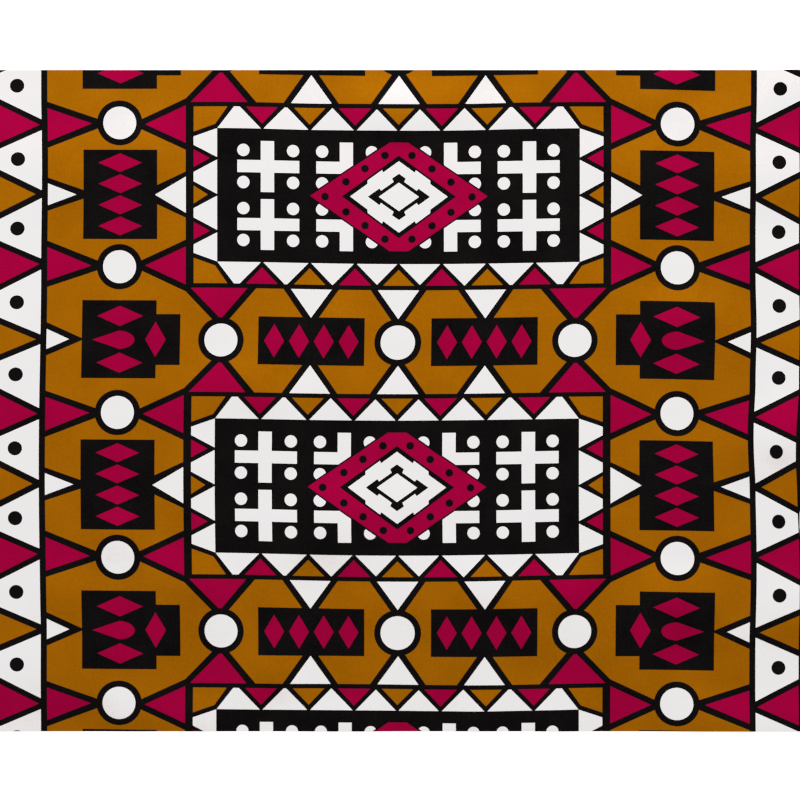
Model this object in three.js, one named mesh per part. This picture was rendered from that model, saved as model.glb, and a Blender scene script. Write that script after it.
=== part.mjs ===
// A one yard length of wax print cotton cloth, lying flat: the printed web and the plain selvedge
// woven along each of its sides. Millimetres. X runs across the cloth, along its weft, and Y runs
// up the cloth, along its warp. Z is up, and z = 0 is the surface that the cloth lies on. The
// origin is on that surface, under the middle of the cloth.
import * as THREE from "three";

// Driving dimensions
const CUT_LENGTH = 914.4; // one yard, from one cut end to the other
const FULL_WIDTH = 1143; // 45 inches, over both selvedges
const PRINTED_WIDTH = 1122; // the width that carries ink
const CLOTH_WALL = 1.2;
const PIECE_GAP = 0.3; // between the printed web and a selvedge

// How finely the wall is divided
const ROWS = 34;
const WEB_COLUMNS = 42;
const SELVEDGE_COLUMNS = 1;

// Low ridges where the cloth stands off the surface it lies on. x and y are the middle of the
// crest, turn is the way it runs, in degrees from X, and the other columns are half its length,
// half its width and its height. The cloth lies flat between them.
const RIDGES = [
  { x: -415, y: 318, turn: 5, halfLength: 200, halfWidth: 82, height: 3.8 },
  { x: 425, y: 312, turn: -8, halfLength: 230, halfWidth: 74, height: 3.4 },
  { x: 20, y: 398, turn: 2, halfLength: 170, halfWidth: 66, height: 2.0 },
  { x: -95, y: 60, turn: 68, halfLength: 115, halfWidth: 64, height: 1.8 },
  { x: -235, y: 15, turn: 14, halfLength: 110, halfWidth: 62, height: 2.2 },
  { x: 410, y: 92, turn: -12, halfLength: 120, halfWidth: 66, height: 2.6 },
  { x: 505, y: -58, turn: 34, halfLength: 125, halfWidth: 62, height: 3.6 },
  { x: -90, y: -182, turn: 3, halfLength: 150, halfWidth: 88, height: 3.4 },
  { x: -300, y: -262, turn: -22, halfLength: 125, halfWidth: 64, height: 2.1 },
  { x: 155, y: -288, turn: -11, halfLength: 210, halfWidth: 78, height: 3.6 },
  { x: 400, y: -292, turn: 9, halfLength: 130, halfWidth: 70, height: 3.1 },
  { x: -465, y: -372, turn: 16, halfLength: 160, halfWidth: 76, height: 3.0 },
  { x: 545, y: 420, turn: 48, halfLength: 110, halfWidth: 70, height: 4.2 },
  { x: -560, y: 60, turn: 82, halfLength: 150, halfWidth: 62, height: 2.7 },
];

// Where the cloth has strayed sideways from a true rectangle. x and y are the middle of the
// stray, the reaches are how far from there it fades out, and shift is how far it goes along X.
const STRAYS = [
  { x: -330, y: -95, reachX: 900, reachY: 275, shift: -3.6 },
  { x: -490, y: 315, reachX: 230, reachY: 110, shift: 1.6 },
  { x: 500, y: 457.2, reachX: 150, reachY: 120, shift: 1.9 },
  { x: 500, y: 100, reachX: 180, reachY: 75, shift: 1.4 },
  { x: 540, y: -52, reachX: 170, reachY: 75, shift: -3.9 },
  { x: 571.5, y: -118, reachX: 75, reachY: 120, shift: -2.6 },
  { x: 500, y: -225, reachX: 160, reachY: 110, shift: 1.6 },
  { x: 60, y: -457.2, reachX: 640, reachY: 250, shift: -1.9 },
];
const BALANCE = 1.0; // moves the whole cloth over, so that it reaches as far left as right

// A soft hump, 1 at zero and 0 from 1 outwards.
function hump(t) {
  const rest = Math.max(0, 1 - t * t);
  return rest * rest;
}

// The height of one ridge over the point x, y.
function ridgeHeight(ridge, x, y) {
  const turn = THREE.MathUtils.degToRad(ridge.turn);
  const east = x - ridge.x;
  const north = y - ridge.y;
  const along = east * Math.cos(turn) + north * Math.sin(turn);
  const across = north * Math.cos(turn) - east * Math.sin(turn);
  return ridge.height * hump(along / ridge.halfLength) * hump(across / ridge.halfWidth);
}

// How far the underside of the cloth stands off the surface at x, y.
function lift(x, y) {
  return RIDGES.reduce((height, ridge) => height + ridgeHeight(ridge, x, y), 0);
}

// How far the cloth at x, y has moved sideways.
function sideways(x, y) {
  return STRAYS.reduce((moved, stray) => {
    const fade = hump((x - stray.x) / stray.reachX) * hump((y - stray.y) / stray.reachY);
    return moved + stray.shift * fade;
  }, BALANCE);
}

// A wall of cloth from xFrom to xTo and from cut end to cut end: a grid of points on its
// underside, the same grid moved up by the wall's thickness, and a rim that joins the two.
function clothWall(xFrom, xTo, columns) {
  const across = columns + 1;
  const layer = across * (ROWS + 1);
  const points = [];
  for (const thickness of [0, CLOTH_WALL]) {
    for (let row = 0; row <= ROWS; row += 1) {
      for (let column = 0; column <= columns; column += 1) {
        const x = THREE.MathUtils.lerp(xFrom, xTo, column / columns);
        const y = CUT_LENGTH * (row / ROWS - 0.5);
        points.push(x + sideways(x, y), y, lift(x, y) + thickness);
      }
    }
  }

  const faces = [];
  const quad = (a, b, c, d) => faces.push(a, b, c, a, c, d);
  for (let row = 0; row < ROWS; row += 1) {
    for (let column = 0; column < columns; column += 1) {
      const a = row * across + column;
      const b = a + 1;
      const c = b + across;
      const d = a + across;
      quad(a, d, c, b);
      quad(a + layer, b + layer, c + layer, d + layer);
    }
  }

  const rim = (from, to) => quad(from, to, to + layer, from + layer);
  const lastRow = ROWS * across;
  for (let column = 0; column < columns; column += 1) {
    rim(column, column + 1);
    rim(lastRow + column + 1, lastRow + column);
  }
  for (let row = 0; row < ROWS; row += 1) {
    rim((row + 1) * across, row * across);
    rim(row * across + columns, (row + 1) * across + columns);
  }

  const geometry = new THREE.BufferGeometry();
  geometry.setAttribute("position", new THREE.Float32BufferAttribute(points, 3));
  geometry.setIndex(faces);
  geometry.computeVertexNormals();
  return geometry;
}

// Ochre is the ink that covers most of the web.
function printedCotton() {
  return new THREE.MeshStandardMaterial({ color: "#a16003", roughness: 0.82, metalness: 0 });
}

function bareCotton() {
  return new THREE.MeshStandardMaterial({ color: "#e4e0d9", roughness: 0.88, metalness: 0 });
}

// One piece of the cloth as a named mesh.
function clothPiece(name, xFrom, xTo, columns, material) {
  const piece = new THREE.Mesh(clothWall(xFrom, xTo, columns), material);
  piece.name = name;
  return piece;
}

const printedEdge = PRINTED_WIDTH / 2;
const selvedgeInner = printedEdge + PIECE_GAP;
const selvedgeOuter = FULL_WIDTH / 2;

const cloth = new THREE.Group();
cloth.name = "wax_print_cloth";
cloth.add(
  clothPiece("printed_web", -printedEdge, printedEdge, WEB_COLUMNS, printedCotton()),
  clothPiece("selvedge_left", -selvedgeOuter, -selvedgeInner, SELVEDGE_COLUMNS, bareCotton()),
  clothPiece("selvedge_right", selvedgeInner, selvedgeOuter, SELVEDGE_COLUMNS, bareCotton()),
);

export default cloth;
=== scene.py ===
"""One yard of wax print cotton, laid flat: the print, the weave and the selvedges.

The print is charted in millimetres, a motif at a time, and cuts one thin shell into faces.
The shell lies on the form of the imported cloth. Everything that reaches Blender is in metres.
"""

import math

import bpy
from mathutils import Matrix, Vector
from mathutils.geometry import delaunay_2d_cdt


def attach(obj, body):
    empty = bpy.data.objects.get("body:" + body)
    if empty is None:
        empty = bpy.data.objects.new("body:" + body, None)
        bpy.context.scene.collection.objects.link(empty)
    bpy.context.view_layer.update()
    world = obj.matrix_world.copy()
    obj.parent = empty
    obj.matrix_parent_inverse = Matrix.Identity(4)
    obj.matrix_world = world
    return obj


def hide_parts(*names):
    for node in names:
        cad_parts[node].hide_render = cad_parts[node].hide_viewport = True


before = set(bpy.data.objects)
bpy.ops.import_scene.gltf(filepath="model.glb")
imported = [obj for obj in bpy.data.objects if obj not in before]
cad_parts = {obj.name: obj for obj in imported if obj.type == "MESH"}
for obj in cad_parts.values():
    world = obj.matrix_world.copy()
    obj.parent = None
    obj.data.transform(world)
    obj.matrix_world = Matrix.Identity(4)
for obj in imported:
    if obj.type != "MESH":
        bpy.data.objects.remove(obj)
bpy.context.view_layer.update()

MM = 0.001

# ---------------------------------------------------------------- the cloth, in millimetres
CUT_LENGTH = 914.4
FULL_WIDTH = 1143.0
PRINTED_WIDTH = 1122.0
CLOTH_THICKNESS = 0.4

# Low ridges where the cloth stands off the floor: the middle of the crest, the way it runs in
# degrees from X, half its length, half its width, and its height.
RIDGES = (
    dict(x=-415, y=318, turn=5, half_length=200, half_width=82, height=3.8),
    dict(x=425, y=312, turn=-8, half_length=230, half_width=74, height=3.4),
    dict(x=20, y=398, turn=2, half_length=170, half_width=66, height=2.0),
    dict(x=-95, y=60, turn=68, half_length=115, half_width=64, height=1.8),
    dict(x=-235, y=15, turn=14, half_length=110, half_width=62, height=2.2),
    dict(x=410, y=92, turn=-12, half_length=120, half_width=66, height=2.6),
    dict(x=505, y=-58, turn=34, half_length=125, half_width=62, height=3.6),
    dict(x=-90, y=-182, turn=3, half_length=150, half_width=88, height=3.4),
    dict(x=-300, y=-262, turn=-22, half_length=125, half_width=64, height=2.1),
    dict(x=155, y=-288, turn=-11, half_length=210, half_width=78, height=3.6),
    dict(x=400, y=-292, turn=9, half_length=130, half_width=70, height=3.1),
    dict(x=-465, y=-372, turn=16, half_length=160, half_width=76, height=3.0),
    dict(x=545, y=420, turn=48, half_length=110, half_width=70, height=4.2),
    dict(x=-560, y=60, turn=82, half_length=150, half_width=62, height=2.7),
)

# The smaller ripples that the cloth has kept from its folds and from being handled.
RIPPLES = (
    dict(x=-15, y=402, turn=-3, half_length=125, half_width=52, height=3.1),
    dict(x=70, y=408, turn=4, half_length=60, half_width=46, height=1.7),
    dict(x=158, y=396, turn=12, half_length=60, half_width=46, height=2.4),
    dict(x=352, y=424, turn=-9, half_length=45, half_width=42, height=1.8),
    dict(x=418, y=382, turn=8, half_length=52, half_width=46, height=1.8),
    dict(x=548, y=314, turn=-6, half_length=90, half_width=74, height=3.6),
    dict(x=-75, y=304, turn=4, half_length=120, half_width=62, height=1.4),
    dict(x=80, y=316, turn=-7, half_length=90, half_width=64, height=1.5),
    dict(x=-262, y=150, turn=20, half_length=52, half_width=46, height=1.4),
    dict(x=-356, y=119, turn=9, half_length=66, half_width=50, height=1.7),
    dict(x=-84, y=101, turn=-14, half_length=52, half_width=40, height=2.0),
    dict(x=36, y=98, turn=6, half_length=56, half_width=44, height=1.7),
    dict(x=166, y=104, turn=-5, half_length=46, half_width=36, height=1.4),
    dict(x=384, y=117, turn=3, half_length=58, half_width=52, height=2.7),
    dict(x=-182, y=14, turn=-16, half_length=84, half_width=52, height=2.7),
    dict(x=-45, y=8, turn=7, half_length=85, half_width=58, height=2.1),
    dict(x=62, y=14, turn=-10, half_length=60, half_width=48, height=1.4),
    dict(x=548, y=-52, turn=-28, half_length=72, half_width=54, height=3.4),
    dict(x=-104, y=-158, turn=-4, half_length=84, half_width=78, height=3.6),
    dict(x=8, y=-137, turn=8, half_length=46, half_width=40, height=1.1),
    dict(x=104, y=-142, turn=-12, half_length=48, half_width=42, height=1.3),
    dict(x=-388, y=-184, turn=5, half_length=58, half_width=46, height=2.1),
    dict(x=-263, y=-250, turn=-8, half_length=46, half_width=48, height=2.2),
    dict(x=-440, y=-276, turn=-12, half_length=84, half_width=54, height=2.5),
    dict(x=112, y=-250, turn=10, half_length=52, half_width=44, height=1.7),
    dict(x=240, y=-256, turn=-18, half_length=56, half_width=50, height=1.7),
    dict(x=384, y=-264, turn=-4, half_length=70, half_width=54, height=3.4),
    dict(x=-55, y=-286, turn=6, half_length=66, half_width=50, height=1.8),
    dict(x=552, y=-290, turn=-10, half_length=84, half_width=58, height=2.7),
    dict(x=-395, y=-418, turn=-22, half_length=95, half_width=44, height=2.1),
    dict(x=-155, y=-380, turn=9, half_length=48, half_width=44, height=1.7),
    dict(x=-272, y=-440, turn=-14, half_length=44, half_width=40, height=1.4),
    dict(x=-75, y=-457, turn=5, half_length=84, half_width=52, height=2.1),
    dict(x=112, y=-434, turn=-8, half_length=44, half_width=44, height=1.5),
    dict(x=218, y=-452, turn=6, half_length=50, half_width=44, height=1.5),
    dict(x=482, y=-453, turn=-5, half_length=150, half_width=62, height=3.4),
)

# Where the cloth has strayed sideways from a true rectangle: the middle of the stray, how far
# from there it fades out each way, and how far it goes along X.
STRAYS = (
    dict(x=-330, y=-95, reach_x=900, reach_y=275, shift=-3.6),
    dict(x=-490, y=315, reach_x=230, reach_y=110, shift=1.6),
    dict(x=500, y=457.2, reach_x=150, reach_y=120, shift=1.9),
    dict(x=500, y=100, reach_x=180, reach_y=75, shift=1.4),
    dict(x=540, y=-52, reach_x=170, reach_y=75, shift=-3.9),
    dict(x=571.5, y=-118, reach_x=75, reach_y=120, shift=-2.6),
    dict(x=500, y=-225, reach_x=160, reach_y=110, shift=1.6),
    dict(x=60, y=-457.2, reach_x=640, reach_y=250, shift=-1.9),
)
BALANCE = 1.0  # moves the whole cloth over, so that it reaches as far left as right


def hump(t):
    """A soft hump, 1 at zero and 0 from 1 outwards."""
    rest = max(0.0, 1 - t * t)
    return rest * rest


def ridge_height(ridge, x, y):
    """The height of one ridge or ripple over the point x, y."""
    turn = math.radians(ridge["turn"])
    east, north = x - ridge["x"], y - ridge["y"]
    along = east * math.cos(turn) + north * math.sin(turn)
    across = north * math.cos(turn) - east * math.sin(turn)
    return ridge["height"] * hump(along / ridge["half_length"]) * hump(across / ridge["half_width"])


def lift(x, y):
    """How far the underside of the cloth stands off the floor."""
    return sum(ridge_height(ridge, x, y) for ridge in RIDGES + RIPPLES)


def sideways(x, y):
    """How far the cloth at x, y has moved sideways."""
    return BALANCE + sum(
        s["shift"] * hump((x - s["x"]) / s["reach_x"]) * hump((y - s["y"]) / s["reach_y"])
        for s in STRAYS
    )


# ---------------------------------------------------------------- the print, in millimetres
# The repeat runs up the cloth. Framed panels and bands of rings take turns, half a repeat apart.
# PANEL_Y is how far the middle of the upper panel lies above the middle of the cloth.
REPEAT = 402.5
HALF_REPEAT = REPEAT / 2
PANEL_Y = 285.0
REPEATS = (-3, -2, -1, 0, 1)

# From here on x counts from the middle of the web and y from the middle of a panel or a band. The
# small numbers that are added to a place say how far a motif lies off its true place in the print.
COLUMN_X = 385.9  # the middle of the column of rings and blocks
BORDER_X = 490.1  # the line between that column and the strip
BORDER_WIDTH = 8.5
BORDER_INNER = BORDER_X - BORDER_WIDTH / 2
BORDER_OUTER = BORDER_X + BORDER_WIDTH / 2
STRIP_END_X = 555.2  # where the shapes in the strip end
PAST_EDGE = PRINTED_WIDTH / 2 + 2  # the outer line is drawn to here, and cut off at the web's edge

FRAME_X, FRAME_SIDE = 288.9, 10.9  # the frame's upright lines: their middle and their width
FRAME_Y, FRAME_END = 125.7, 6.4  # its level lines: their middle and their width
FRAME_INNER = FRAME_X - FRAME_SIDE / 2
FRAME_OUTER = FRAME_X + FRAME_SIDE / 2
FRAME_LEVEL = FRAME_Y - FRAME_END / 2
PANEL_HALF_X = 251.0
PANEL_TOP, PANEL_FOOT = 92.3, 92.7

# The triangles in a band stand on its ends, a little way under the lines of the frames.
UNDER_LINE = 1.4
BAND_LEVEL = HALF_REPEAT - FRAME_Y - FRAME_END / 2 + UNDER_LINE

RING_RADIUS, MIDDLE_RING_RADIUS = 22.8, 23.7
RING_LINE = 8.7
STRIP_DOT_RADIUS = 9.9
CROSS_DOT_RADIUS = 8.5
LOZENGE_DOT_RADIUS = 5.3

# How many sides a round outline has, the radius up to which half as many are enough, and how
# many the round half of a drop has.
ROUND_STEPS = 40
SMALL_RADIUS = 15
DROP_STEPS = 16

INKS = ("ochre", "magenta", "black", "white")

# Where the border strip's outlines meet its inner line, up or down from the middle of a panel:
# how far they lie above that, the ink of the triangle there, how far its tip stays off the line,
# half the black gap between the white shapes, and how steeply these open, towards the panel's
# middle and away from it.
JUNCTIONS = (
    dict(y=0, rise=0.5, ink="ochre", tip=8.4, gap=5.5, inward=0.51, outward=0.51),
    dict(y=97.0, rise=0.4, ink="magenta", tip=2.3, gap=7.8, inward=0.445, outward=0.515),
    dict(y=201.25, rise=0, ink="ochre", tip=5.9, gap=6.8, inward=0.43, outward=0.43),
)

# The dots in the strip: how far up or down from the middle of a panel, and what is added to that.
STRIP_DOTS = (48.3, 151.0)
STRIP_DOT_X = 526.8
STRIP_DOT_RISE = 1.3

# The white teeth above and below a panel, from its middle outwards: where the foot of each
# starts and ends, where its blunt tip does, and how far the tip stays short of the frame.
TEETH = (
    dict(foot=(1.8, 57.6), tip=(29.4, 29.9), short=1.4),
    dict(foot=(61.8, 120.6), tip=(91.1, 91.6), short=0),
    dict(foot=(124.7, 186.8), tip=(153.9, 157.5), short=0),
    dict(foot=(190.5, 250.5), tip=(219.8, 227.5), short=0),
)

# The triangles that hang between those teeth: ink, half of the base, and how far from the panel
# the tip stays.
HANGING = (
    dict(x=0.3, ink="ochre", half=21.6, clear=7.8),
    dict(x=59.9, ink="magenta", half=22.5, clear=6.3),
    dict(x=122.8, ink="ochre", half=21.8, clear=7.0),
    dict(x=188.9, ink="magenta", half=22.0, clear=6.8),
)

# A spot on the right where the outer line was printed thin. Here y counts from the middle of the
# cloth.
THIN_SPOT = [(564, -206), (558.3, -193), (557.1, -172), (558.1, -152), (564, -139)]

# The dots along one quarter of the lozenge in the middle of a panel.
LOZENGE_DOTS = ((101.7, 0), (72.6, 20.8), (46.3, 39.4), (18.7, 58.0))


class Chart:
    """The print as polygons in painter's order, each with its ink. x counts from the middle."""

    def __init__(self):
        self.shapes = []

    def draw(self, ink, points):
        """Adds the polygon, and its mirror image unless it reaches the middle itself."""
        self.shapes.append((ink, list(points)))
        if min(x for x, y in points) > 0:
            self.shapes.append((ink, [(-x, y) for x, y in reversed(points)]))

    def box(self, ink, x, y, half_x, half_y):
        self.draw(ink, [(x - half_x, y - half_y), (x + half_x, y - half_y),
                        (x + half_x, y + half_y), (x - half_x, y + half_y)])

    def disc(self, ink, x, y, radius):
        steps = ROUND_STEPS if radius > SMALL_RADIUS else ROUND_STEPS // 2
        turns = [math.tau * i / steps for i in range(steps)]
        self.draw(ink, [(x + radius * math.cos(t), y + radius * math.sin(t)) for t in turns])

    def lozenge(self, ink, x, y, half_x, half_y):
        self.draw(ink, [(x + half_x, y), (x, y + half_y), (x - half_x, y), (x, y - half_y)])

    def pointer(self, ink, base_x, y, half, length, rise=0):
        """A triangle on an upright base that points along X by length, which may be negative."""
        self.draw(ink, [(base_x, y - half), (base_x + length, y + rise), (base_x, y + half)])

    def spike(self, ink, x, base_y, half, height):
        """A triangle on a level base that points along Y by height, which may be negative."""
        self.draw(ink, [(x - half, base_y), (x + half, base_y), (x, base_y + height)])

    def ring(self, x, y, radius):
        self.disc("black", x, y, radius + RING_LINE)
        self.disc("white", x, y, radius)


def draw_strip(chart, y0):
    """The strip along each side: white shapes with a dot, and coloured triangles between them."""
    width = STRIP_END_X - BORDER_OUTER
    for sign in (-1, 1):
        for near, far, dot in zip(JUNCTIONS, JUNCTIONS[1:], STRIP_DOTS):
            low, high = near["y"] + near["gap"], far["y"] - far["gap"]
            chart.draw("white", [
                (BORDER_OUTER, y0 + near["rise"] + sign * low),
                (STRIP_END_X, y0 + near["rise"] + sign * (low + near["outward"] * width)),
                (STRIP_END_X, y0 + far["rise"] + sign * (high - far["inward"] * width)),
                (BORDER_OUTER, y0 + far["rise"] + sign * high),
            ])
            dot_y = y0 + STRIP_DOT_RISE + sign * dot
            chart.disc("black", STRIP_DOT_X, dot_y, STRIP_DOT_RADIUS)
        for junction in JUNCTIONS:
            reach = width - junction["tip"]
            y = y0 + junction["rise"] + sign * junction["y"]
            chart.draw(junction["ink"], [
                (STRIP_END_X - reach, y),
                (STRIP_END_X, y + sign * junction["outward"] * reach),
                (STRIP_END_X, y - sign * junction["inward"] * reach),
            ])


def draw_column(chart, y0):
    """Rings, blocks of lozenges and triangles between the border and the framed panels."""
    for sign in (-1, 1):
        border_y, frame_y = y0 + sign * 96.8 + 0.4, y0 + sign * 98.1
        chart.pointer("black", BORDER_INNER, border_y, half=32.2, length=-88.2, rise=sign * 2.2)
        chart.pointer("black", FRAME_X, frame_y, half=38.4, length=82.0)
        chart.pointer("magenta", BORDER_INNER, border_y, half=23.3, length=-61.1, rise=sign * 2.0)
        chart.pointer("magenta", FRAME_OUTER, frame_y, half=26.3, length=56.2)
        chart.ring(COLUMN_X, y0 + sign * 99.9, RING_RADIUS)

    # Level with a panel: one block with four lozenges, between two triangles.
    pitch = 29.2
    chart.pointer("black", BORDER_INNER, y0 + 0.2, half=22.9, length=-67)
    chart.pointer("black", FRAME_OUTER, y0 + 0.2, half=31.9, length=68.2)
    chart.box("black", COLUMN_X - 0.6, y0 + 0.4, half_x=51.3, half_y=62.0)
    chart.pointer("white", BORDER_INNER, y0, half=15.1, length=-39.4)
    chart.pointer("white", FRAME_OUTER, y0, half=25.0, length=42.6)
    for i in range(4):
        y = y0 + 0.5 + pitch * (i - 1.5)
        chart.lozenge("magenta", COLUMN_X - 0.4, y, half_x=30.3, half_y=13.1)

    # Level with a band: a stepped block with two lozenges, a drop between them, and a lozenge
    # on its end.
    y = y0 - HALF_REPEAT
    chart.pointer("black", BORDER_INNER, y + 0.5, half=23.1, length=-52.3)
    chart.pointer("white", BORDER_INNER, y + 0.4, half=14.0, length=-31.1)
    chart.box("black", COLUMN_X - 0.3, y + 0.5, half_x=51.5, half_y=54.3)
    chart.box("black", COLUMN_X - 67.5, y + 0.3, half_x=17.4, half_y=35.4)
    for offset in (-32.0, 33.0):
        chart.lozenge("magenta", COLUMN_X - 1.5, y + offset, half_x=31.9, half_y=14.1)
    turns = [math.pi * i / DROP_STEPS for i in range(DROP_STEPS + 1)]
    drop = [(COLUMN_X - 21.8 * math.sin(t), y + 12.6 * math.cos(t)) for t in turns]
    chart.draw("magenta", [(COLUMN_X + 36.8, y)] + drop)
    chart.lozenge("magenta", COLUMN_X - 50.8, y + 0.6, half_x=14.2, half_y=24.6)


def draw_band(chart, y0):
    """The band between two framed panels: rings, blocks of lozenges and triangles."""
    for sign in (-1, 1):
        level = y0 + sign * BAND_LEVEL
        chart.draw("black", [(195.5, level), (300.5, level), (244.8, level - sign * 58.0)])
        chart.draw("magenta", [(207.8, level), (288.9, level), (245.3, level - sign * 44.6)])
        chart.spike("black", 0.5 - 0.3 * sign, level, half=39.6, height=-sign * 57.0)
        chart.spike("black", 120.7, level, half=39.3, height=-sign * 56.5)
    chart.box("black", 119.6, y0 + 0.3, half_x=73.5, half_y=33.3)
    for sign in (-1, 1):
        level = y0 + sign * BAND_LEVEL
        chart.spike("white", 0.5 - 0.3 * sign, level, half=29.4, height=-sign * 41.2)
        chart.spike("white", 120.5, level, half=29.1, height=-sign * 40.8)
    pitch = 34.3
    for i in range(4):
        x = 119.4 + pitch * (i - 1.5)
        chart.lozenge("magenta", x, y0 + 0.3, half_x=13.8, half_y=23.4)
    chart.ring(244.5, y0, RING_RADIUS)
    chart.ring(0, y0, MIDDLE_RING_RADIUS)


def draw_teeth(chart, y0):
    """The teeth between the frame and the panel, all round, and the triangles between them."""
    for sign, foot in ((1, PANEL_TOP), (-1, PANEL_FOOT)):
        def draw(ink, points):
            chart.draw(ink, [(x, y0 + sign * y) for x, y in points])

        for tooth in TEETH:
            (near, far), (left, right) = tooth["foot"], tooth["tip"]
            top = FRAME_LEVEL - tooth["short"]
            draw("white", [(near, foot), (far, foot), (right, top), (left, top)])
        for hanging in HANGING:
            x, half, tip_y = hanging["x"], hanging["half"], foot + hanging["clear"]
            draw(hanging["ink"], [(x - half, FRAME_LEVEL), (x, tip_y), (x + half, FRAME_LEVEL)])
        draw("ochre", [(236.6, FRAME_LEVEL), (253.6, 98.0), (FRAME_INNER, 87.3),
                       (FRAME_INNER, FRAME_LEVEL)])
        draw("white", [(PANEL_HALF_X, 52.1), (FRAME_INNER, 69.0),
                       (FRAME_INNER, 80.5), (PANEL_HALF_X, foot - 0.4)])
        draw("white", [(PANEL_HALF_X, 1.3), (FRAME_INNER, 18.7),
                       (FRAME_INNER, 31.3), (PANEL_HALF_X, 48.6)])
        side_y = y0 + sign * 50.2 + 0.4
        chart.pointer("magenta", FRAME_INNER, side_y, half=12.3, length=-22.4)
    chart.pointer("ochre", FRAME_INNER, y0 + 0.4, half=12.6, length=-19.6)


def draw_crosses(chart, y0):
    """The dots and crosses in a panel. The inner crosses have no arm on the lozenge's side."""
    for sign in (-1, 1):
        y = y0 + sign * 40.1
        chart.box("white", 180.1, y, half_x=42.8, half_y=8.4)
        chart.box("white", 181.3, y - 0.2, half_x=9.2, half_y=35.1)
        chart.box("white", 93.1, y, half_x=20.5, half_y=8.3)
        chart.box("white", 72.1, y + sign * 13.4, half_x=9.1, half_y=21.7)
        for x in (71.2, 180.2):
            for east in (-34.4, 34.4):
                for north in (-22.1, 22.1):
                    chart.disc("white", x + east, y + north, CROSS_DOT_RADIUS)


def draw_lozenge(chart, y0):
    """The dotted lozenge in the middle of a panel, with the stepped lozenges inside it."""
    shift = 0.6

    def draw(ink, quarter):
        """Mirrors the quarter outline, from the right tip to the top, to the other quarters."""
        upper = quarter + [(-x, y) for x, y in reversed(quarter) if x > 0]
        lower = [(x, -y) for x, y in reversed(upper) if y > 0]
        chart.draw(ink, [(x + shift, y0 + shift + y) for x, y in upper + lower])

    draw("black", [(126.4, 0), (14.2, 77.0)])
    draw("magenta", [(122.8, 0), (12.7, 75.3)])
    draw("black", [(78.8, 0), (0, 57.2)])
    draw("white", [(67.5, 0), (43.4, 17.7), (43.4, 22.3), (23.4, 37.0), (21.9, 33.5), (0, 49.5)])
    draw("black", [(43.1, 0), (27.1, 11.6), (24.6, 8.5), (7.3, 20.7), (9.6, 25.5), (0, 32.2)])
    draw("white", [(27.8, 0), (0, 19.7)])
    for x, y in LOZENGE_DOTS:
        for sign in (-1, 1):
            chart.disc("black", x, y0 + sign * y, LOZENGE_DOT_RADIUS)


def chart_print():
    """The whole print, from the ground up."""
    chart = Chart()
    middles = [PANEL_Y + n * REPEAT for n in REPEATS]
    for y0 in middles:
        draw_column(chart, y0)
        draw_band(chart, y0 - HALF_REPEAT)
    for y0 in middles:
        chart.box("black", 0, y0, FRAME_OUTER, FRAME_Y + FRAME_END / 2)
        draw_teeth(chart, y0)
        draw_crosses(chart, y0)
        draw_lozenge(chart, y0)
    # The border line, the outer line and the lines of the strip are what is left of one black box.
    side_x, side_half = (BORDER_INNER + PAST_EDGE) / 2, (PAST_EDGE - BORDER_INNER) / 2
    chart.box("black", side_x, 0, side_half, CUT_LENGTH)
    for y0 in middles:
        draw_strip(chart, y0)
    chart.shapes.append(("white", THIN_SPOT))
    return chart.shapes


# How the web was pulled out of true as it was printed. It has shrunk a little, and along Y more
# so at its sides, SIDE_X from the middle, and at its cut ends. Its level lines sag in the middle,
# droop towards both sides and lean down to the right, and they bend again beyond the border
# lines, where the print also narrows.
SHRUNK = 0.9991
SIDE_X = 524
SHORTER = dict(sides=0.005, ends=0.0015, end_y=400)
SAG = dict(x=24, reach=300, depth=4.3, raised=0.7, droop=1.8)
LEAN = dict(sides=3.9, middle=-0.7)
BEND = dict(x=486, left=-0.018, right=0.022, narrowing=0.02)

# Where the print crept up or down the web: the middle of the creep, how far from there it fades
# out each way, and how far it goes along Y.
CREEPS = (
    dict(x=0, y=-215, reach_x=1500, reach_y=105, shift=-0.9),
    dict(x=0, y=-10, reach_x=1500, reach_y=95, shift=0.6),
    dict(x=0, y=-365, reach_x=2000, reach_y=110, shift=-1.0),
    dict(x=340, y=0, reach_x=150, reach_y=2000, shift=0.6),
    dict(x=-40, y=-400, reach_x=190, reach_y=150, shift=2.4),
    dict(x=200, y=390, reach_x=150, reach_y=110, shift=1.2),
    dict(x=-225, y=375, reach_x=110, reach_y=90, shift=0.8),
    dict(x=90, y=-5, reach_x=260, reach_y=75, shift=0.9),
)


def printed_place(x, y):
    """Where the print's point x, y falls on the cloth."""
    across = x / SIDE_X
    beyond = max(0.0, abs(x) - BEND["x"])
    sag = SAG["depth"] * hump((x - SAG["x"]) / SAG["reach"]) - SAG["raised"]
    sag += SAG["droop"] * across ** 2
    lean = across * (LEAN["sides"] * across ** 2 + LEAN["middle"])
    end = y / SHORTER["end_y"]
    shorter = y * (SHORTER["sides"] * across ** 2 + SHORTER["ends"] * end ** 2)
    creep = beyond * BEND["right" if x > 0 else "left"]
    for c in CREEPS:
        creep += c["shift"] * hump((x - c["x"]) / c["reach_x"]) * hump((y - c["y"]) / c["reach_y"])
    return SHRUNK * (x - BEND["narrowing"] * beyond), SHRUNK * (y - sag - lean - shorter + creep)


# ---------------------------------------------------------------- the shell
EDGE_STEP = 9.0  # the longest side that an outline may have
LATTICE = 11.0  # how far apart the points between the outlines are
DIGITS = 3  # points are rounded to thousandths of a millimetre, and those that meet are one
INSIDE_OUTLINES = 1  # asks the triangulation for what lies inside the outlines


def oblong(x0, x1, half_y):
    """A rectangle from x0 to x1, and half_y up and down."""
    return [(x0, -half_y), (x1, -half_y), (x1, half_y), (x0, half_y)]


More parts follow.
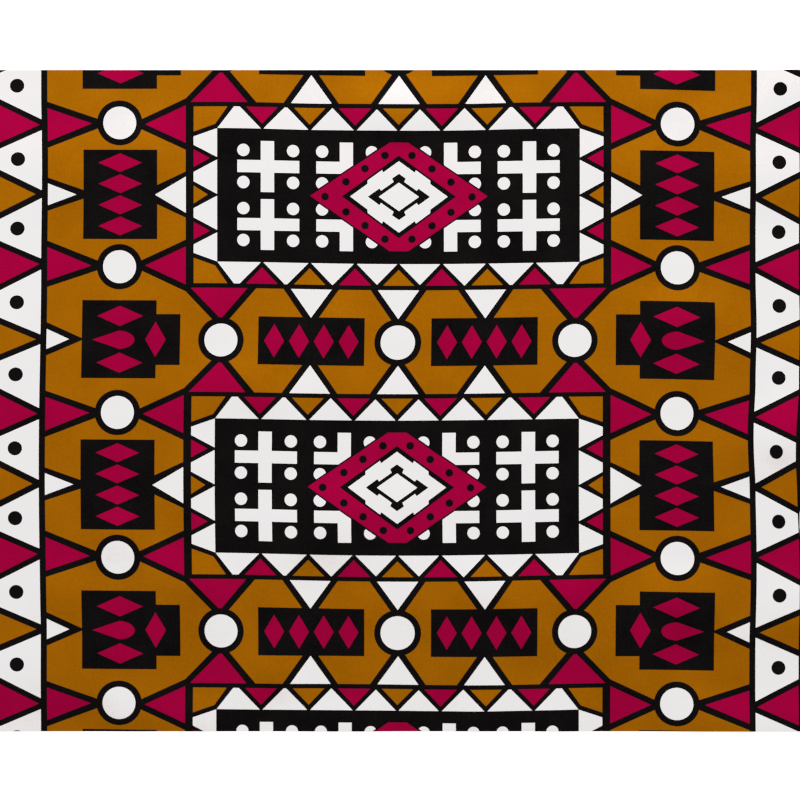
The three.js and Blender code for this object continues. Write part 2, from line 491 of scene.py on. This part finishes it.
def fine_outline(points):
    """The outline with extra points, so that no side of it is longer than EDGE_STEP."""
    result = []
    for (x0, y0), (x1, y1) in zip(points, points[1:] + points[:1]):
        parts = max(1, math.ceil(math.hypot(x1 - x0, y1 - y0) / EDGE_STEP))
        for i in range(parts):
            result.append((x0 + (x1 - x0) * i / parts, y0 + (y1 - y0) * i / parts))
    return result


def clipped(points, low, high):
    """The polygon cut to the band from y = low to y = high."""
    for limit, keep_above in ((low, True), (high, False)):
        kept = []
        for (x0, y0), (x1, y1) in zip(points, points[1:] + points[:1]):
            inside0 = (y0 >= limit) == keep_above
            inside1 = (y1 >= limit) == keep_above
            if inside0:
                kept.append((x0, y0))
            if inside0 != inside1:
                t = (limit - y0) / (y1 - y0)
                kept.append((x0 + (x1 - x0) * t, limit))
        points = kept
        if len(points) < 3:
            return []
    return points


def area(points):
    """The polygon's area, which is positive where it runs against the clock."""
    sides = zip(points, points[1:] + points[:1])
    return sum(x0 * y1 - x1 * y0 for (x0, y0), (x1, y1) in sides) / 2


def partition():
    """The cloth cut along the print's outlines: points, triangles and each triangle's ink."""
    half_x, half_y = FULL_WIDTH / 2, CUT_LENGTH / 2
    printed = PRINTED_WIDTH / 2
    faces, inks = [], []

    def take(ink, points):
        faces.append(points)
        inks.append(ink)

    take("ochre", fine_outline(oblong(-half_x, half_x, half_y)))
    for ink, points in chart_print():
        placed = [printed_place(x, y) for x, y in fine_outline(points)]
        placed = [(max(-printed, min(printed, x)), y) for x, y in placed]
        placed = clipped(placed, -half_y, half_y)
        if placed:
            take(ink, placed if area(placed) > 0 else placed[::-1])
    for side in (-1, 1):
        x0, x1 = sorted((side * printed, side * half_x))
        take("selvedge", fine_outline(oblong(x0, x1, half_y)))

    coords, rings, seen = [], [], {}
    for points in faces:
        ids = []
        for x, y in points:
            key = (round(x, DIGITS), round(y, DIGITS))
            if key not in seen:
                seen[key] = len(coords)
                coords.append(Vector(key))
            if not ids or ids[-1] != seen[key]:
                ids.append(seen[key])
        if ids[0] == ids[-1]:
            ids.pop()
        rings.append(ids)
    columns, rows = round(FULL_WIDTH / LATTICE), round(CUT_LENGTH / LATTICE)
    for i in range(1, columns):
        for j in range(1, rows):
            x = -half_x + FULL_WIDTH * i / columns
            y = -half_y + CUT_LENGTH * j / rows
            coords.append(Vector((x, y)))
    # True asks for the outlines that each triangle lies in. The one drawn last gives it its ink.
    merge_reach = 10 ** -DIGITS
    verts, _, tris, _, _, owners = delaunay_2d_cdt(
        coords, [], rings, INSIDE_OUTLINES, merge_reach, True)
    return verts, tris, [inks[max(owner)] for owner in owners]


def slope_normal(x, y):
    """Which way the cloth faces at x, y, from how its height changes over a millimetre."""
    east = lift(x + 0.5, y) - lift(x - 0.5, y)
    north = lift(x, y + 0.5) - lift(x, y - 0.5)
    return Vector((-east, -north, 1)).normalized()


def shell(name, verts, tris, inks, materials):
    """A closed thin shell from a flat partition: its top, its underside and its rim's walls."""
    used = sorted({i for tri in tris for i in tri})
    index = {old: new for new, old in enumerate(used)}
    flat = [verts[i] for i in used]
    tris = [[index[i] for i in tri] for tri in tris]
    count = len(flat)
    heights = [lift(p.x, p.y) for p in flat]
    shifted = [(p.x + sideways(p.x, p.y), p.y) for p in flat]
    points = [(x * MM, y * MM, (h + CLOTH_THICKNESS) * MM) for (x, y), h in zip(shifted, heights)]
    points += [(x * MM, y * MM, h * MM) for (x, y), h in zip(shifted, heights)]

    faces = [list(tri) for tri in tris]
    faces += [[i + count for i in reversed(tri)] for tri in tris]
    slots = [materials.index(ink) for ink in inks] * 2
    uses = {}
    for tri, slot in zip(tris, slots):
        for a, b in zip(tri, tri[1:] + tri[:1]):
            uses.setdefault(frozenset((a, b)), []).append((a, b, slot))
    for rim in uses.values():
        if len(rim) == 1:
            a, b, slot = rim[0]
            faces.append([b, a, a + count, b + count])
            slots.append(slot)

    mesh = bpy.data.meshes.new(name)
    mesh.from_pydata(points, [], faces)
    mesh.polygons.foreach_set("material_index", slots)
    up = [slope_normal(p.x, p.y) for p in flat]
    normals = []
    for number, face in enumerate(faces):
        if number < len(tris):
            normals += [up[i] for i in face]
        elif number < 2 * len(tris):
            normals += [-up[i - count] for i in face]
        else:
            a, b = (Vector(points[i]) for i in face[:2])
            normals += [(b - a).cross(Vector((0, 0, -1))).normalized()] * 4
    mesh.shade_smooth()
    mesh.normals_split_custom_set(normals)
    piece = bpy.data.objects.new(name, mesh)
    bpy.context.scene.collection.objects.link(piece)
    for ink in materials:
        mesh.materials.append(MATERIALS[ink])
    return piece


# ---------------------------------------------------------------- the materials
YARN_PITCH = 0.36 * MM

# How fine the unevenness is, in waves for each metre: slubs across and along their yarn, faint
# blotches, and specks.
SLUBS_ACROSS, SLUBS_ALONG = 900, 40
BLOTCHES = 16.0
SPECKS = 380.0

# How much each kind of unevenness counts towards the worn colour, and the sums at which that
# colour starts to show and at which it shows alone.
WEAR = dict(slubs=0.9, blotches=0.9, specks=0.9, weave=0.16)
WORN_FROM, WORN_TO = 1.05, 1.8

# The relief of the cloth's surface, and how it takes light.
SLUB_RELIEF = 0.8
BUMP_STRENGTH, BUMP_HEIGHT = 0.35, 0.12 * MM
ROUGHNESS = 0.86
SPECULAR = 0.008
SHEEN, SHEEN_ROUGHNESS = 0.02, 0.45


class Tree:
    """A material's node tree, with short calls to fill it."""

    def __init__(self, name):
        self.material = bpy.data.materials.new(name)
        self.material.use_nodes = True
        self.tree = self.material.node_tree
        self.shader = self.tree.nodes["Principled BSDF"]

    def node(self, kind, settings=None, **inputs):
        """A new node: settings are its own properties, and inputs a value or link for a socket."""
        made = self.tree.nodes.new(kind)
        for key, value in (settings or {}).items():
            setattr(made, key, value)
        for key, value in inputs.items():
            self.put(made.inputs[key], value)
        return made

    def put(self, socket, value):
        if isinstance(value, bpy.types.NodeSocket):
            self.tree.links.new(value, socket)
        else:
            socket.default_value = value

    def math(self, operation, *values):
        """The result of a math node over the values, which may be links."""
        made = self.tree.nodes.new("ShaderNodeMath")
        made.operation = operation
        for socket, value in zip(made.inputs, values):
            self.put(socket, value)
        return made.outputs[0]

    def noise(self, vector, scale, detail, stretch=None):
        """Noise from about 0 to 1, finer along each axis by its share in stretch."""
        if stretch:
            vector = self.node("ShaderNodeMapping", Vector=vector, Scale=stretch).outputs[0]
        made = self.node("ShaderNodeTexNoise", Vector=vector, Scale=scale, Detail=detail)
        return made.outputs["Fac"]


def plain_weave(tree, place):
    """The height of a plain weave, from 0 to 1: warp and weft yarns that pass over each other."""
    split = tree.node("ShaderNodeSeparateXYZ", Vector=place).outputs
    turn = math.pi / YARN_PITCH
    warp = tree.math("SINE", tree.math("MULTIPLY", split["X"], turn))
    weft = tree.math("SINE", tree.math("MULTIPLY", split["Y"], turn))
    over = tree.math("MULTIPLY", warp, weft)
    warp_share = tree.math("MULTIPLY_ADD", over, 0.5, 0.5)
    weft_share = tree.math("MULTIPLY_ADD", over, -0.5, 0.5)
    warp_up = tree.math("MULTIPLY", tree.math("ABSOLUTE", warp), warp_share)
    weft_up = tree.math("MULTIPLY", tree.math("ABSOLUTE", weft), weft_share)
    return tree.math("MAXIMUM", warp_up, weft_up)


def cotton(name, colour, worn):
    """Printed or bare cotton: colour is the yarn's own, and worn is that of its raised streaks."""
    tree = Tree(name)
    place = tree.node("ShaderNodeTexCoord").outputs["Object"]
    weave = plain_weave(tree, place)
    warp_slubs = tree.noise(place, scale=1.0, detail=3.0, stretch=(SLUBS_ACROSS, SLUBS_ALONG, 1))
    weft_slubs = tree.noise(place, scale=1.0, detail=3.0, stretch=(SLUBS_ALONG, SLUBS_ACROSS, 1))
    slubs = tree.math("MULTIPLY", tree.math("ADD", warp_slubs, weft_slubs), 0.5)
    blotches = tree.noise(place, scale=BLOTCHES, detail=3.0)
    specks = tree.noise(place, scale=SPECKS, detail=2.0)

    blend = tree.math("MULTIPLY", slubs, WEAR["slubs"])
    for source, weight in ((blotches, "blotches"), (specks, "specks"), (weave, "weave")):
        blend = tree.math("ADD", blend, tree.math("MULTIPLY", source, WEAR[weight]))
    limits = {"From Min": WORN_FROM, "From Max": WORN_TO}
    share = tree.node("ShaderNodeMapRange", Value=blend, **limits)
    mix = tree.node("ShaderNodeMix", dict(data_type="RGBA"))
    tree.put(mix.inputs[0], share.outputs[0])
    own, raised = [socket for socket in mix.inputs if socket.type == "RGBA"]
    tree.put(own, (*colour, 1))
    tree.put(raised, (*worn, 1))
    result = [socket for socket in mix.outputs if socket.type == "RGBA"][0]
    tree.put(tree.shader.inputs["Base Color"], result)

    height = tree.math("ADD", weave, tree.math("MULTIPLY", slubs, SLUB_RELIEF))
    bump = tree.node("ShaderNodeBump", Height=height, Strength=BUMP_STRENGTH, Distance=BUMP_HEIGHT)
    tree.put(tree.shader.inputs["Normal"], bump.outputs[0])
    tree.shader.inputs["Roughness"].default_value = ROUGHNESS
    tree.shader.inputs["Specular IOR Level"].default_value = SPECULAR
    tree.shader.inputs["Sheen Weight"].default_value = SHEEN
    tree.shader.inputs["Sheen Roughness"].default_value = SHEEN_ROUGHNESS
    return tree.material


# By ink: the yarn's own colour and its worn one.
MATERIALS = {
    "ochre": cotton("ochre_ink", (0.262, 0.084, 0.0001), (0.338, 0.112, 0.0009)),
    "magenta": cotton("magenta_ink", (0.258, 0.0001, 0.0300), (0.334, 0.0004, 0.0420)),
    "black": cotton("black_ink", (0.0019, 0.0015, 0.0016), (0.0070, 0.0054, 0.0056)),
    "white": cotton("bare_ground", (0.772, 0.728, 0.714), (0.872, 0.830, 0.818)),
    "selvedge": cotton("selvedge_cotton", (0.752, 0.710, 0.690), (0.856, 0.816, 0.800)),
}


# ---------------------------------------------------------------- the pieces
def node_at(x):
    """The CAD node that the cloth at x stands for."""
    if abs(x) < PRINTED_WIDTH / 2:
        return "printed_web"
    return "selvedge_left" if x < 0 else "selvedge_right"


def make_cloth():
    """The printed web and its two selvedges, each in place of its CAD node."""
    verts, tris, inks = partition()
    parts = {"printed_web": [], "selvedge_left": [], "selvedge_right": []}
    for tri, ink in zip(tris, inks):
        middle = sum(verts[i].x for i in tri) / 3
        parts[node_at(middle)].append((tri, ink))
    for node, cells in parts.items():
        printed = node == "printed_web"
        piece = shell("cloth_" + node, verts, [tri for tri, _ in cells],
                      [ink for _, ink in cells], INKS if printed else ("selvedge",))
        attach(piece, "root")
        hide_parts(node)


# The floor glows a little, so that it shows as white as the photo's cleared background and keeps
# only a faint shadow of the cloth. Its reach is in metres.
FLOOR_REACH = 30.0
FLOOR_DROP = 0.05 * MM
FLOOR_GREY = 0.93
FLOOR_ROUGHNESS = 0.9
FLOOR_GLOW = 0.95


def make_floor():
    """The plain white surface that the cloth lies on."""
    mesh = bpy.data.meshes.new("floor")
    corners = [(x, y, 0) for x, y in oblong(-FLOOR_REACH, FLOOR_REACH, FLOOR_REACH)]
    mesh.from_pydata(corners, [], [(0, 1, 2, 3)])
    floor = bpy.data.objects.new("floor", mesh)
    floor.location.z = -FLOOR_DROP
    bpy.context.scene.collection.objects.link(floor)
    tree = Tree("pale_floor")
    tree.shader.inputs["Base Color"].default_value = (FLOOR_GREY, FLOOR_GREY, FLOOR_GREY, 1)
    tree.shader.inputs["Roughness"].default_value = FLOOR_ROUGHNESS
    tree.shader.inputs["Emission Color"].default_value = (1, 1, 1, 1)
    tree.shader.inputs["Emission Strength"].default_value = FLOOR_GLOW
    mesh.materials.append(tree.material)


# What the camera sees, in millimetres: the middle of the picture, and its width on the cloth. The
# lens and the sensor are in millimetres as well.
SEEN_MIDDLE = (3.1, 0.85, 0.8)
SEEN_WIDTH = 1105.7
LENS = 85
SENSOR_WIDTH = 36


def make_camera():
    """Straight above the cloth, as the photo was taken, and seeing a little less than its width."""
    camera = bpy.data.objects.new("camera", bpy.data.cameras.new("camera"))
    camera.data.lens = LENS
    camera.data.sensor_width = SENSOR_WIDTH
    above = SEEN_WIDTH * MM * LENS / SENSOR_WIDTH
    camera.location = Vector(SEEN_MIDDLE) * MM + Vector((0, 0, above))
    bpy.context.scene.collection.objects.link(camera)
    bpy.context.scene.camera = camera


WORLD_LIGHT = 0.29

# How bright the surface is and how bright it is shown: even up to the lightest ink, then softer.
SHOULDER = ((0.0, 0.0), (0.6, 0.6), (0.8, 0.787), (1.1, 0.865), (1.3, 1.0), (1.5, 1.0))
ALL_CHANNELS = 3  # the curve that acts on red, green and blue alike


def make_light(name, energy, size, place):
    """A rectangular light in watts and metres, turned towards the middle of the cloth."""
    data = bpy.data.lights.new(name, "AREA")
    data.shape = "RECTANGLE"
    data.size, data.size_y = size
    data.energy = energy
    light = bpy.data.objects.new(name, data)
    light.location = place
    to_middle = Vector((0, 0, 0)) - Vector(place)
    light.rotation_euler = to_middle.to_track_quat("-Z", "Y").to_euler()
    bpy.context.scene.collection.objects.link(light)


def make_lights():
    """A key light from beyond the top cut end, a weak fill from above, and an even surround."""
    make_light("key", energy=372, size=(2.6, 1.4), place=(0.05, 4.0, 2.1))
    make_light("fill", energy=15, size=(3.0, 3.0), place=(0.0, -0.5, 3.2))
    world = bpy.data.worlds.new("studio")
    world.use_nodes = True
    world.node_tree.nodes["Background"].inputs["Color"].default_value = (1, 1, 1, 1)
    world.node_tree.nodes["Background"].inputs["Strength"].default_value = WORLD_LIGHT
    bpy.context.scene.world = world


def soften_highlights():
    """Shows the bare ground as the photo does: below white, and with less falloff than the inks."""
    view = bpy.context.scene.view_settings
    view.view_transform = "Standard"
    view.use_curve_mapping = True
    brightest = SHOULDER[-1][0]
    view.curve_mapping.white_level = (brightest,) * 3
    points = view.curve_mapping.curves[ALL_CHANNELS].points
    while len(points) < len(SHOULDER):
        points.new(0.5, 0.5)
    for point, (light, shown) in zip(points, SHOULDER):
        point.location = (light / brightest, shown)
        point.handle_type = "VECTOR"
    view.curve_mapping.update()


make_cloth()
make_floor()
make_camera()
make_lights()
soften_highlights()
